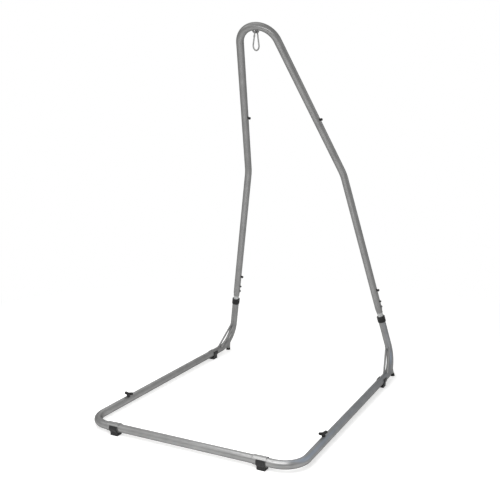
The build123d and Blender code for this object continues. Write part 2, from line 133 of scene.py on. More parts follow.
class nodeLine:  # wraps one output socket, so shader maths reads as an expression
    def __init__(self, tree, out=None):
        self.tree = tree
        self.out = out

    def node(self, kind, settings=None, inputs=None, output=0):
        made = self.tree.nodes.new("ShaderNode" + kind)
        for key, value in (settings or {}).items():
            if key == "stops":
                for stop, (place, grey) in zip(made.color_ramp.elements, value):
                    stop.position = place
                    stop.color = (grey, grey, grey, 1)
            else:
                setattr(made, key, value)
        for key, value in (inputs or {}).items():
            if isinstance(value, nodeLine):
                self.tree.links.new(value.out, made.inputs[key])
            else:
                made.inputs[key].default_value = value
        return nodeLine(self.tree, made.outputs[output])

    def maths(self, operation, first, second):
        return self.node("Math", {"operation": operation}, {0: first, 1: second})

    def __add__(self, other):
        return self.maths("ADD", self, other)

    __radd__ = __add__

    def __mul__(self, other):
        return self.maths("MULTIPLY", self, other)

    __rmul__ = __mul__

    def ramp(self, low, high):
        return self.node("ValToRGB", {"stops": [(low, 0.0), (high, 1.0)]}, {0: self})

    def noise(self, scale, detail=3.0, roughness=0.55):
        inputs = {"Vector": self, "Scale": scale, "Detail": detail, "Roughness": roughness}
        return self.node("TexNoise", None, inputs)

    def mix(self, first, second):
        return self.node("Mix", {"data_type": "RGBA"}, {0: self, 6: first, 7: second}, output=2)


def shade(value, tint=(1.0, 1.0, 1.0)):
    return (value * tint[0], value * tint[1], value * tint[2], 1)


def newFinish(name, constants):  # gives the material, its Object coordinates and its shader
    material = bpy.data.materials.new(name)
    material.use_nodes = True
    shader = material.node_tree.nodes["Principled BSDF"]
    for key, value in constants.items():
        shader.inputs[key].default_value = value
    place = nodeLine(material.node_tree).node("TexCoord", output=3)
    return material, place, shader


def feed(shader, color, roughness, height, bump):
    relief = height.node("Bump", None, {"Strength": bump[0], "Distance": bump[1], "Height": height})
    for line, socket in ((color, "Base Color"), (roughness, "Roughness"), (relief, "Normal")):
        line.tree.links.new(line.out, shader.inputs[socket])


# in the finishes, a noise is (scale, detail, roughness), a ramp (low, high) and a bump (strength, distance)
def framePaint():  # silver-grey powder paint with fine flake
    paint = {
        "dark": 0.233, "light": 0.277, "cloud": (14.0, 4.0), "cloudRamp": (0.32, 0.68), "cloudGloss": 0.08,
        "grain": (900.0, 2.0), "grainGloss": 0.10, "roughness": 0.22,
        "flake": (2600.0, 1.0), "flakeRamp": (0.60, 0.72), "flakeShare": 0.12,
        "flakeShade": 0.42, "flakeTint": (0.98, 1.0, 1.03),
        "peel": (170.0, 2.0), "peelShare": 0.6, "grainShare": 0.7, "bump": (0.03, 0.0005),
    }
    constants = {"Metallic": 0.75, "Specular IOR Level": 0.25, "Specular Tint": shade(0.4)}
    material, place, shader = newFinish("framePaint", constants)
    cloud = place.noise(*paint["cloud"])
    grain = place.noise(*paint["grain"])
    flake = place.noise(*paint["flake"]).ramp(*paint["flakeRamp"])
    color = cloud.ramp(*paint["cloudRamp"]).mix(shade(paint["dark"]), shade(paint["light"]))
    color = (flake * paint["flakeShare"]).mix(color, shade(paint["flakeShade"], paint["flakeTint"]))
    roughness = grain * paint["grainGloss"] + cloud * paint["cloudGloss"] + paint["roughness"]
    peel = place.noise(*paint["peel"])  # faint orange peel
    relief = grain * paint["grainShare"] + peel * paint["peelShare"]
    feed(shader, color, roughness, relief, paint["bump"])
    return material


def galvanised():  # bright zinc bath with spangle
    zinc = {
        "dark": 0.40, "light": 0.52, "tint": (0.98, 1.0, 1.0), "spangle": 160.0, "spangleGloss": 0.14,
        "scratch": (420.0, 3.0), "scratchGloss": 0.10, "roughness": 0.32, "bump": (0.10, 0.0003),
    }
    material, place, shader = newFinish("galvanised", {"Metallic": 0.45, "Specular IOR Level": 0.5})
    inputs = {"Vector": place, "Scale": zinc["spangle"]}
    cells = place.node("TexVoronoi", {"feature": "F1"}, inputs, output=1)
    spangle = place.node("RGBToBW", None, {0: cells})
    scratch = place.noise(*zinc["scratch"])
    color = spangle.mix(shade(zinc["dark"], zinc["tint"]), shade(zinc["light"], zinc["tint"]))
    roughness = spangle * zinc["spangleGloss"] + scratch * zinc["scratchGloss"] + zinc["roughness"]
    feed(shader, color, roughness, scratch, zinc["bump"])
    return material


def cloudFinish(name, constants, look):  # two shades in soft clouds, with a fine grain in gloss and bump
    material, place, shader = newFinish(name, constants)
    cloud = place.noise(*look["cloud"])
    grain = place.noise(*look["grain"])
    color = cloud.ramp(*look["ramp"]).mix(shade(*look["dark"]), shade(*look["light"]))
    roughness = grain * look["grainGloss"] + cloud * look["cloudGloss"] + look["roughness"]
    feed(shader, color, roughness, grain, look["bump"])
    return material


def zincPlate():  # dull plate of bolts, nuts, studs and springs
    return cloudFinish("zincPlate", {"Metallic": 0.70, "Specular IOR Level": 0.5}, {
        "dark": (0.10, (1.0, 1.0, 0.99)), "light": (0.16, (0.99, 1.0, 1.02)), "ramp": (0.3, 0.7),
        "cloud": (70.0, 4.0), "cloudGloss": 0.14, "grain": (1500.0, 2.0), "grainGloss": 0.12,
        "roughness": 0.30, "bump": (0.10, 0.0002),
    })


def hookZincPaintedLight():  # zinc plate of the snap hook, lighter than the bolts' plate: painted light that lifts the hook out of the shade under the bow
    return cloudFinish("hookZincPaintedLight", {"Metallic": 0.30, "Specular IOR Level": 0.4}, {
        "dark": (0.34, (1.0, 1.0, 0.99)), "light": (0.42, (0.99, 1.0, 1.01)), "ramp": (0.3, 0.7),
        "cloud": (90.0, 4.0), "cloudGloss": 0.12, "grain": (1800.0, 2.0), "grainGloss": 0.10,
        "roughness": 0.30, "bump": (0.05, 0.0002),
    })


def blackPlastic():  # moulded fittings with a fine spark texture
    return cloudFinish("blackPlastic", {"Specular IOR Level": 0.30}, {
        "dark": (0.010, (1.0, 1.0, 1.06)), "light": (0.020, (1.0, 1.0, 1.04)), "ramp": (0.3, 0.75),
        "cloud": (45.0, 4.0), "cloudGloss": 0.12, "grain": (1100.0, 3.0), "grainGloss": 0.16,
        "roughness": 0.36, "bump": (0.35, 0.0004),
    })


def blackRubber():  # heel caps, dusty and dull
    return cloudFinish("blackRubber", {"Specular IOR Level": 0.25}, {
        "dark": (0.016,), "light": (0.050, (1.03, 1.0, 0.96)), "ramp": (0.45, 0.8),
        "cloud": (260.0, 5.0, 0.7), "cloudGloss": 0.1, "grain": (260.0, 5.0, 0.7), "grainGloss": 0.1,
        "roughness": 0.62, "bump": (0.3, 0.0005),
    })


def bushPlastic():  # self-coloured guide bushes
    return cloudFinish("bushPlastic", {"Specular IOR Level": 0.4}, {
        "dark": (0.030,), "light": (0.055,), "ramp": (0.35, 0.7),
        "cloud": (300.0, 4.0), "cloudGloss": 0.1, "grain": (300.0, 4.0), "grainGloss": 0.1,
        "roughness": 0.32, "bump": (0.15, 0.0003),
    })


finishes = {
    "frame_paint": framePaint(), "galvanised_steel": galvanised(), "zinc_steel": zincPlate(),
    "black_plastic": blackPlastic(), "black_rubber": blackRubber(), "bush_plastic": bushPlastic(),
}
# the hook, its gate and pin take the lighter zinc, a painted lit copy of the bolts' plate
hookFinish = hookZincPaintedLight()
slotOf = {row["node"]: row["material_slot"] for row in frame["record"]["subparts"]}
for name, item in frame["nodes"].items():  # inner pieces that keep their solid
    item.data.materials.clear()
    item.data.materials.append(hookFinish if name == "gate" else finishes[slotOf[name]])
print("stage: finishes made", len(finishes))


class tubeRun:  # a ring that walks along a path and leaves a skin behind it
    def __init__(self, bm, place, way, radius, sides=None):
        self.bm = bm
        self.place = Vector(place)
        self.way = Vector(way).normalized()
        self.radius = radius
        turn = up.rotation_difference(self.way).to_matrix().to_4x4()
        ring = bmesh.ops.create_circle(
            bm, segments=sides or tube["sides"], radius=radius, matrix=Matrix.Translation(self.place) @ turn)
        self.edges = list(dict.fromkeys(edge for vert in ring["verts"] for edge in vert.link_edges))

    def cap(self):
        bmesh.ops.edgeloop_fill(self.bm, edges=self.edges)
        return self

    def go(self, length, radius=None):
        made = bmesh.ops.extrude_edge_only(self.bm, edges=self.edges)["geom"]
        verts = [item for item in made if isinstance(item, bmesh.types.BMVert)]
        fresh = set(verts)
        self.edges = [item for item in made if isinstance(item, bmesh.types.BMEdge)
                      and item.verts[0] in fresh and item.verts[1] in fresh]
        bmesh.ops.translate(self.bm, verts=verts, vec=self.way * length)
        self.place = self.place + self.way * length
        if radius and radius != self.radius:
            factor = radius / self.radius
            bmesh.ops.scale(self.bm, verts=verts, vec=(factor,) * 3, space=Matrix.Translation(-self.place))
            self.radius = radius
        return self

    def goTo(self, target, radius=None):
        return self.go((target - self.place).dot(self.way), radius)

    def bend(self, way, bendRadius, steps):
        way = way.normalized()
        side = (way - self.way * way.dot(self.way)).normalized()
        centre = self.place + side * bendRadius
        axis = self.way.cross(way).normalized()
        angle = self.way.angle(way)
        made = bmesh.ops.spin(self.bm, geom=self.edges, cent=centre, axis=axis, angle=angle, steps=steps)
        self.edges = [item for item in made["geom_last"] if isinstance(item, bmesh.types.BMEdge)]
        self.place = centre + Matrix.Rotation(angle, 3, axis) @ (self.place - centre)
        self.way = way
        return self


def addTo(bm, part, matrix):  # moves a finished shape into the piece it belongs to
    bmesh.ops.transform(part, matrix=matrix, verts=part.verts)
    carrier = bpy.data.meshes.new("carrier")
    part.to_mesh(carrier)
    part.free()
    bm.from_mesh(carrier)
    bpy.data.meshes.remove(carrier)


def turned(profile, steps=48):  # turns a half section about the local z axis
    part = bmesh.new()
    chain = [part.verts.new((radius, 0, rise)) for radius, rise in profile]
    edges = [part.edges.new(pair) for pair in zip(chain, chain[1:])]
    bmesh.ops.spin(
        part, geom=chain + edges, cent=(0, 0, 0), axis=(0, 0, 1), angle=2 * pi, steps=steps, use_merge=True)
    bmesh.ops.remove_doubles(part, verts=part.verts, dist=mergeDistance)
    bmesh.ops.recalc_face_normals(part, faces=part.faces)
    return part


def thicken(part, depth):  # pulls a flat shape out along z
    pushed = bmesh.ops.extrude_face_region(part, geom=part.faces[:])["geom"]
    raised = [item for item in pushed if isinstance(item, bmesh.types.BMVert)]
    bmesh.ops.translate(part, verts=raised, vec=(0, 0, depth))


def slab(size):
    part = bmesh.new()
    bmesh.ops.create_cube(part, size=1.0)
    bmesh.ops.scale(part, verts=part.verts, vec=size)
    return part


def finishPiece(name, bm, body, slot, nodes, bevel=0.0, segments=2, sharp=35, finish=None):
    bmesh.ops.recalc_face_normals(bm, faces=bm.faces)
    mesh = bpy.data.meshes.new(name)
    bm.to_mesh(mesh)
    bm.free()
    mesh.shade_smooth()
    mesh.set_sharp_from_angle(angle=radians(sharp))
    item = bpy.data.objects.new(name, mesh)
    bpy.context.scene.collection.objects.link(item)
    mesh.materials.append(finish or finishes[slot])
    if bevel:
        edge = item.modifiers.new("edge", "BEVEL")
        edge.limit_method = "ANGLE"
        edge.angle_limit = radians(sharp)
        edge.width = bevel
        edge.segments = segments
        edge.use_clamp_overlap = True
        edge.harden_normals = True
    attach(item, body)
    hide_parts(*nodes)


weld = {"ripple": 0.72, "roundSteps": 3, "order": 3, "pathSteps": 3}


def weldBead(bm, points, thickness):  # closed ripple of weld round a joint
    path = bpy.data.curves.new("bead", "CURVE")
    path.dimensions = "3D"
    path.bevel_depth = thickness
    path.bevel_resolution = weld["roundSteps"]
    spline = path.splines.new("NURBS")
    spline.points.add(len(points) - 1)
    for index, (spot, point) in enumerate(zip(spline.points, points)):
        spot.co = (*point, 1)
        spot.radius = 1.0 if index % 2 else weld["ripple"]
    spline.use_cyclic_u = True
    spline.order_u = weld["order"]
    spline.resolution_u = weld["pathSteps"]
    carrier = bpy.data.objects.new("bead", path)
    mesh = bpy.data.meshes.new_from_object(carrier)
    bm.from_mesh(mesh)
    bpy.data.objects.remove(carrier)
    bpy.data.curves.remove(path)
    bpy.data.meshes.remove(mesh)


def jointLine(rodPlace, rodWay, rodRadius, tubePlace, tubeWay, tubeRadius, count):  # rod skin on a tube
    side = rodWay.orthogonal().normalized()
    other = rodWay.cross(side)
    flatWay = rodWay - tubeWay * rodWay.dot(tubeWay)
    points = []
    for index in range(count):
        angle = 2 * pi * index / count
        start = rodPlace + side * (rodRadius * cos(angle)) + other * (rodRadius * sin(angle))
        off = start - tubePlace
        off = off - tubeWay * off.dot(tubeWay)
        half = off.dot(flatWay) / flatWay.length_squared
        rest = (off.length_squared - tubeRadius ** 2) / flatWay.length_squared
        points.append(start + rodWay * (-half + sqrt(max(half * half - rest, 0.0))))
    return points


bar = {
    "wall": 0.0025, "socket": 0.066, "flare": 0.006, "plugGap": 0.004,
    "leftStraight": 0.003, "plugShow": 0.028,
}
socketBore = tube["radius"] + tube["fit"]
socketRadius = socketBore + bar["wall"]
cornerTangent = bendTangent(frontCorner(-1), frontCorner(1), elbowCorner(1), tube["cornerBend"])
bendStart = layout["frontHalfWidth"] - cornerTangent
leftRoot = bendStart - bar["leftStraight"] - bar["flare"]
barRoot = bendStart - bar["plugShow"] - bar["socket"]


def barPoint(x):
    return Vector((x, -layout["middle"], layout["axisHeight"]))


def makeFrontBar():
    hold = tube["hold"]
    bm = bmesh.new()
    run = tubeRun(bm, barPoint(bar["plugGap"] - leftRoot), barWay, tube["radius"]).cap()
    run.goTo(barPoint(barRoot - bar["flare"] - hold)).go(hold).go(bar["flare"], socketRadius)
    run.go(hold).go(bar["socket"] - hold).go(0, socketBore).go(-bar["socket"]).cap()
    finishPiece("frontBar", bm, "front_bar", "frame_paint", ["front_bar"], tube["lip"])


def makeFrontCorner(name, side):
    hold = tube["hold"]
    bm = bmesh.new()
    if side < 0:  # starts in the bottom of its own socket
        run = tubeRun(bm, barPoint(-leftRoot), -barWay, socketBore).cap()
        run.go(-bar["socket"]).go(0, socketRadius).go(bar["socket"] - hold).go(hold)
        run.go(bar["flare"], tube["radius"]).go(hold)
    else:
        run = tubeRun(bm, barPoint(barRoot + bar["plugGap"]), barWay, tube["radius"]).cap()
    run.goTo(barPoint(side * bendStart)).bend(railWay(side), tube["cornerBend"], tube["cornerSteps"])
    run.goTo(onRail(side, tube["railSeam"])).cap()
    nodes = [name + "_front_corner"]
    finishPiece(name + "FrontCorner", bm, name + "_base", "frame_paint", nodes, tube["lip"])


def makeRearTube(name, side):
    along, elbow, seam = railWay(side), elbowCorner(side), onRail(side, tube["railSeam"])
    tangent = bendTangent(frontCorner(side), elbow, kneeCorner(side), tube["elbowBend"])
    bm = bmesh.new()
    run = tubeRun(bm, seam - along * tube["spigot"], along, spigotRadius).cap()
    run.goTo(seam).go(0, tube["radius"])
    run.goTo(elbow - along * tangent).bend(legWay(side), tube["elbowBend"], tube["elbowSteps"])
    run.goTo(onLeg(side, leg["uprightTop"])).go(0, boreRadius)
    run.goTo(onLeg(side, tangent + tube["boreFloor"])).cap()
    finishPiece(name + "RearTube", bm, name + "_base", "frame_paint", [name + "_rear_tube"], tube["lip"])


def makeLeg(name, side):
    elbow, knee, rise = elbowCorner(side), kneeCorner(side), legWay(side)
    bendFrom = (knee - elbow).length - bendTangent(elbow, knee, peak, tube["kneeBend"])
    mouthBore = leg["innerRadius"] + tube["fit"]
    mouthRadius = mouthBore + leg["mouthWall"]
    neckFrom = leg["end"] + leg["mouth"]
    bm = bmesh.new()
    run = tubeRun(bm, onLeg(side, neckFrom), rise, mouthBore).cap().go(-leg["mouth"])
    run.go(0, mouthRadius).go(leg["mouth"])
    for share in leg["neckRings"]:  # soft shoulder of the necked end
        blend = share * share * (3 - 2 * share)
        neckRadius = mouthRadius + (tube["radius"] - mouthRadius) * blend
        run.goTo(onLeg(side, neckFrom + leg["neck"] * share), neckRadius)
    run.go(tube["hold"]).goTo(onLeg(side, bendFrom)).bend(topWay(side), tube["kneeBend"], tube["kneeSteps"])
    run.goTo(onTop(side, tube["bowSeam"])).go(0, spigotRadius).go(tube["spigot"]).cap()
    finishPiece(name + "Leg", bm, "upper_frame", "frame_paint", [name + "_leg"], tube["lip"])
    inner = bmesh.new()
    run = tubeRun(inner, onLeg(side, leg["innerStart"]), rise, leg["innerRadius"]).cap()
    run.goTo(onLeg(side, leg["innerEnd"])).cap()
    nodes = [name + "_inner_tube"]
    finishPiece(name + "InnerTube", inner, "upper_frame", "galvanised_steel", nodes, tube["lip"])


def makeBow():
    start, end = onTop(-1, tube["bowSeam"]), onTop(1, tube["bowSeam"])
    tangent = bendTangent(start, peak, end, tube["bowBend"])
    bm = bmesh.new()
    run = tubeRun(bm, start, heading(start, peak), tube["radius"]).cap()
    run.goTo(peak - heading(start, peak) * tangent)
    run.bend(heading(peak, end), tube["bowBend"], tube["bowSteps"]).goTo(end).cap()
    finishPiece("bowTube", bm, "upper_frame", "frame_paint", ["bow"], tube["lip"])


makeFrontBar()
makeBow()
for name, side in handed.items():
    makeFrontCorner(name, side)
    makeRearTube(name, side)
    makeLeg(name, side)
print("stage: tubes bent")

brace = {
    "radius": 0.0055, "sides": 24, "halfSpacing": 0.011, "up": 0.150, "along": 0.172, "bury": 0.012,
    "bead": 0.0024, "beadPoints": 36,
}
heel = {
    "radius": 0.011, "sides": 40, "out": 0.014, "back": 0.012, "bury": 0.012,
    "bead": 0.0024, "beadPoints": 52,
    "capWall": 0.002, "capFloor": 0.006, "capDepth": 0.010, "capSides": 48, "capBevel": 0.0005,
    "grooveFrom": 0.35, "grooveWidth": 0.0012, "grooveDepth": 0.0006,
    "pastFloor": 0.024, "floorGap": 0.0002,  # the cap is cut off level, just above the floor
}


def makeBraceRods(name, side):
    elbow, front, rise = elbowCorner(side), -railWay(side), legWay(side)
    across = front.cross(rise).normalized()
    bm = bmesh.new()
    for braceSide in (-1, 1):
        offset = across * (braceSide * brace["halfSpacing"])
        low, high = elbow + front * brace["along"] + offset, elbow + rise * brace["up"] + offset
        way = heading(low, high)
        run = tubeRun(bm, low + way * brace["bury"], way, brace["radius"], brace["sides"]).cap()
        run.goTo(high - way * brace["bury"]).cap()
        for place, rodWay, tubeWay in ((low, way, front), (high, -way, rise)):
            line = jointLine(
                place, rodWay, brace["radius"], elbow, tubeWay, tube["radius"], brace["beadPoints"])
            weldBead(bm, line, brace["bead"])
    finishPiece(name + "BraceRods", bm, name + "_base", "frame_paint", [name + "_brace_rods"])


def makeHeel(name, side):
    elbow, front, rise = elbowCorner(side), -railWay(side), legWay(side)
    middle = (front + rise).normalized()
    half = (-front).angle(rise) / 2
    bendMiddle = elbow + middle * (tube["elbowBend"] / cos(half) - tube["elbowBend"])
    floorPoint = Vector((bendMiddle.x + side * heel["out"], bendMiddle.y + heel["back"], 0))
    way = heading(bendMiddle, floorPoint)
    stubEnd = floorPoint - way * heel["capFloor"]
    stub = bmesh.new()
    run = tubeRun(stub, bendMiddle + way * heel["bury"], way, heel["radius"], heel["sides"]).cap()
    run.goTo(stubEnd).cap()
    skinWay = (rise - front).normalized()  # run of the bend where the stub stands
    line = jointLine(
        bendMiddle, way, heel["radius"], bendMiddle, skinWay, tube["radius"], heel["beadPoints"])
    weldBead(stub, line, heel["bead"])
    finishPiece(name + "HeelStub", stub, name + "_base", "frame_paint", [name + "_heel_stub"])

    seat, dip = heel["radius"] + tube["fit"], heel["grooveDepth"]
    outer = seat + heel["capWall"]
    cap = bmesh.new()
    run = tubeRun(cap, stubEnd, way, seat, heel["capSides"]).cap().go(-heel["capDepth"])
    run.go(0, outer - dip).go(dip, outer).go(heel["capDepth"] * heel["grooveFrom"])
    run.go(dip, outer - dip).go(heel["grooveWidth"]).go(dip, outer)  # one moulded groove
    run.go(heel["capDepth"] + heel["pastFloor"]).cap()
    whole = cap.verts[:] + cap.edges[:] + cap.faces[:]
    cut = bmesh.ops.bisect_plane(
        cap, geom=whole, plane_co=(0, 0, heel["floorGap"]), plane_no=(0, 0, -1), clear_outer=True)
    rim = [edge for edge in cut["geom_cut"] if isinstance(edge, bmesh.types.BMEdge)]
    bmesh.ops.edgeloop_fill(cap, edges=rim)
    nodes = [name + "_heel_cap"]
    finishPiece(name + "HeelCap", cap, name + "_base", "black_rubber", nodes, heel["capBevel"])


for name, side in handed.items():
    makeBraceRods(name, side)
    makeHeel(name, side)
print("stage: braces and heels welded")

foot = {
    "length": 0.044, "wall": 0.0045, "rise": 0.014, "clipSteps": 56,
    "blockLength": 0.042, "blockWidth": 0.036, "blockCuts": 15, "bevel": 0.0011, "bevelSegments": 3,
    "frontHalf": 0.395, "rearFromElbow": 0.245,
}


def makeFoot(name, body, node, place, along, radius):
    across = up.cross(along).normalized()
    inner = radius + tube["fit"]
    outer = inner + foot["wall"]
    midWall = inner + foot["wall"] / 2
    frameHere = placed(place, across, along)  # x across, y up
    bm = bmesh.new()
    gap = pi / 2 - foot["rise"] / midWall  # half of the open top
    lipWay = Vector((sin(gap), cos(gap), 0))
    clip = bmesh.new()
    first = [clip.verts.new(lipWay * size + Vector((0, 0, -foot["length"] / 2))) for size in (inner, outer)]
    edge = clip.edges.new(first)
    sweep = 2 * pi - 2 * gap
    bmesh.ops.spin(
        clip, geom=first + [edge], cent=(0, 0, 0), axis=(0, 0, -1), angle=sweep, steps=foot["clipSteps"])
    thicken(clip, foot["length"])
    addTo(bm, clip, frameHere)
    depth = layout["axisHeight"]
    block = slab((foot["blockWidth"], depth, foot["blockLength"]))
    bmesh.ops.translate(block, verts=block.verts, vec=(0, -depth / 2, 0))
    sideways = [e for e in block.edges if abs(e.verts[0].co.x - e.verts[1].co.x) > foot["blockWidth"] / 2]
    bmesh.ops.subdivide_edges(block, edges=sideways, cuts=foot["blockCuts"], use_grid_fill=True)
    for vert in block.verts:
        if vert.co.y > -depth / 2:  # the block's top follows the cradle
            vert.co.y = -sqrt(midWall ** 2 - vert.co.x ** 2)
    addTo(bm, block, frameHere)
    finishPiece(name, bm, body, "black_plastic", [node], foot["bevel"], foot["bevelSegments"])


for name, side in handed.items():
    frontBody = "front_bar" if side > 0 else "left_base"
    place = barPoint(side * foot["frontHalf"])
    makeFoot(name + "FrontFoot", frontBody, name + "_front_foot", place, barWay, socketRadius)
    along = -railWay(side)
    place = elbowCorner(side) + along * foot["rearFromElbow"]
    makeFoot(name + "RearFoot", name + "_base", name + "_rear_foot", place, along, tube["radius"])
print("stage: feet clipped on")

collar = {
    "radius": 0.0235, "low": 0.302, "roof": 0.3334, "high": 0.338, "bore": 0.0201, "neckBore": 0.0169,
    "lowEdge": 0.0012, "highEdge": 0.002, "gripFrom": 0.0050, "gripBelow": 0.0090, "gripStep": 0.0006,
    "ribs": 36, "ribDepth": 0.0007, "facesPerRib": 3, "bevel": 0.0003,
}


def makeCollar(name, side):
    rise = legWay(side)
    here = placed(onLeg(side, collar["low"]), rise.orthogonal().normalized(), rise)
    tall, roof = collar["high"] - collar["low"], collar["roof"] - collar["low"]
    size, bore, neck, dip = collar["radius"], collar["bore"], collar["neckBore"], collar["ribDepth"]
    low, high, step = collar["gripFrom"], tall - collar["gripBelow"], collar["gripStep"]
    profile = [
        (bore, 0.0), (size - collar["lowEdge"], 0.0), (size, collar["lowEdge"]), (size, low),
        (size - dip, low + step), (size - dip, high - step), (size, high), (size, tall - collar["highEdge"]),
        (size - collar["highEdge"], tall), (neck, tall), (neck, roof), (bore, roof), (bore, 0.0),
    ]
    bm = turned(profile, collar["ribs"] * collar["facesPerRib"])
    centres = [(face.calc_center_median(), face) for face in bm.faces]
    grip = [(spot.to_2d(), face) for spot, face in centres
            if spot.to_2d().length > bore and low + step < spot.z < high - step]
    grip.sort(key=lambda row: row[0].angle_signed(Vector((1, 0)), 0))
    for index, (_, face) in enumerate(grip):
        if index % collar["facesPerRib"] == 1:  # upright ribs for the hand
            raised = bmesh.ops.extrude_discrete_faces(bm, faces=[face])["faces"][0]
            outWay = raised.calc_center_median().to_2d().to_3d().normalized()
            bmesh.ops.translate(bm, verts=raised.verts, vec=outWay * dip)
    bmesh.ops.remove_doubles(bm, verts=bm.verts, dist=mergeDistance)
    bmesh.ops.transform(bm, matrix=here, verts=bm.verts)
    nodes = [name + "_collar"]
    finishPiece(name + "Collar", bm, name + "_collar", "black_plastic", nodes, collar["bevel"])


for name, side in handed.items():
    makeCollar(name, side)
print("stage: collars fitted")

wing = {
    "fromSeam": 0.031, "tilt": 12.0, "turn": {"left": 30.0, "right": 45.0}, "gap": 0.0004,
    "flange": 0.010, "flangeEdge": 0.0004, "flangeHeight": 0.0034, "flangeStep": 0.0008,
    "hubRadius": 0.0082, "hubHeight": 0.0165,
    "crown": ((0.92, 0.0014), (0.76, 0.0004), (0.45, 0.0)),  # share of the hub's radius, depth under its top
    "span": 0.0445, "height": 0.0230, "lobe": 0.0066, "lobeSides": 32, "thickness": 0.0085,
    "bladeRise": 0.0122, "bevel": 0.0010, "bevelSegments": 3,
}


def makeWingKnob(name, side):
    along = railWay(side)
    place = onRail(side, tube["railSeam"] - wing["fromSeam"])
    across = along.cross(up)
    lean = radians(wing["tilt"]) * side
    out = up * cos(lean) - across * sin(lean)
    here = placed(place + out * (tube["radius"] + wing["gap"]), along.cross(out).normalized(), out)
    here = here @ Matrix.Rotation(radians(wing["turn"][name]), 4, "Z")
    size, tall, flange = wing["hubRadius"], wing["hubHeight"], wing["flange"]
    bm = bmesh.new()
    hub = [
        (0, 0), (flange - wing["flangeEdge"], 0), (flange, wing["flangeEdge"]),
        (flange, wing["flangeHeight"]), (size, wing["flangeHeight"] + wing["flangeStep"]),
    ]
    hub += [(size * share, tall - below) for share, below in wing["crown"]] + [(0, tall)]
    addTo(bm, turned(hub), here)
    lobePlace, lobeRise = wing["span"] / 2 - wing["lobe"], wing["height"] - wing["lobe"]
    for lobeSide in (-1, 1):
        slope = Vector((lobeSide * lobePlace, 0, lobeRise - wing["bladeRise"]))
        blade = bmesh.new()
        half = pi / wing["lobeSides"]  # no corner sits square to the blade
        start = Matrix.Rotation(half, 4, "Z")
        bmesh.ops.create_circle(
            blade, cap_ends=True, segments=wing["lobeSides"], radius=wing["lobe"], matrix=start)
        outer = [vert for vert in blade.verts if vert.co.x > 0]
        bmesh.ops.translate(blade, verts=outer, vec=(slope.length, 0, 0))
        bmesh.ops.translate(blade, verts=blade.verts, vec=(0, 0, -wing["thickness"] / 2))
        thicken(blade, wing["thickness"])
        root = placed(Vector((0, 0, wing["bladeRise"])), slope.normalized(), Vector((0, -1, 0)))
        bmesh.ops.transform(blade, matrix=root, verts=blade.verts)
        addTo(bm, blade, here)
    body, nodes = name + "_wing_screw", [name + "_wing_knob"]
    finishPiece(name + "WingKnob", bm, body, "black_plastic", nodes, wing["bevel"], wing["bevelSegments"])


for name, side in handed.items():
    makeWingKnob(name, side)
print("stage: wing screws fitted")

thumb = {
    "radius": 0.007, "length": 0.0125, "gap": 0.0004, "steps": 72, "sharp": 50,
    "footIn": 0.0006, "footRise": 0.0005, "ringFrom": 0.22, "ringTo": 0.30,
    "shoulder": 0.0012, "crown": 0.0002, "dishRim": 0.62, "dishRadius": 0.58, "dishDepth": 0.0008,
    "scallops": 6, "depth": 0.0009, "scallopFrom": 0.26, "scallopInside": 0.7,
}
bolt = {
    "across": 0.010, "height": 0.004, "crownIn": 0.0009, "crownRise": 0.0005,
    "washerRadius": 0.007, "washer": 0.0012, "washerRing": 0.6, "sink": 0.0004, "bevel": 0.0003,
}
button = {
    "radius": 0.0055, "standOut": 0.008, "domeShare": 0.5, "domeSteps": 8,
    "low": 0.0095, "flange": 0.0075, "flangeHeight": 0.002, "bevel": 0.0002, "sharp": 50,
}


def makeThumbHead(name, body, node, here):
    size, tall, shoulder = thumb["radius"], thumb["length"], thumb["shoulder"]
    dish = tall - thumb["dishDepth"]
    profile = [
        (0, 0), (size - thumb["footIn"], 0), (size, thumb["footRise"]),
        (size, tall * thumb["ringFrom"]), (size, tall * thumb["ringTo"]),
        (size, tall - shoulder), (size - shoulder, tall - thumb["crown"]),
        (size * thumb["dishRim"], tall), (size * thumb["dishRadius"], dish), (0, dish),
    ]
    bm = turned(profile, thumb["steps"])
    for vert in bm.verts:  # finger scallops above the plain foot ring
        flat = vert.co.to_2d()
        if vert.co.z > tall * thumb["scallopFrom"] and flat.length > size * thumb["scallopInside"]:
            wave = 0.5 + 0.5 * cos(thumb["scallops"] * flat.angle_signed(Vector((1, 0)), 0))
            vert.co.xy = flat * (1 - thumb["depth"] * 2 * wave * wave / size)
    lift = Matrix.Translation((0, 0, tube["radius"] + thumb["gap"]))
    bmesh.ops.transform(bm, matrix=here @ lift, verts=bm.verts)
    finishPiece(name, bm, body, "black_plastic", [node], sharp=thumb["sharp"])


def makeLegBolt(name, here):
    bm = bmesh.new()
    washer, thick, low = bolt["washerRadius"], bolt["washer"], -bolt["sink"]
    disc = [(0, low), (washer, low), (washer, thick), (washer * bolt["washerRing"], thick), (0, thick)]
    addTo(bm, turned(disc), here)
    hexRadius = bolt["across"] / 2 / cos(pi / 6)
    head = bmesh.new()
    bmesh.ops.create_circle(
        head, cap_ends=True, segments=6, radius=hexRadius, matrix=Matrix.Translation((0, 0, thick)))
    thicken(head, bolt["height"])
    bmesh.ops.recalc_face_normals(head, faces=head.faces)
    crown = [face for face in head.faces if face.normal.z > 0.9]  # the face that points out
    bmesh.ops.inset_region(head, faces=crown, thickness=bolt["crownIn"], depth=bolt["crownRise"])
    addTo(bm, head, here)
    nodes = [name + "_leg_bolt"]
    finishPiece(name + "LegBolt", bm, "upper_frame", "zinc_steel", nodes, bolt["bevel"])


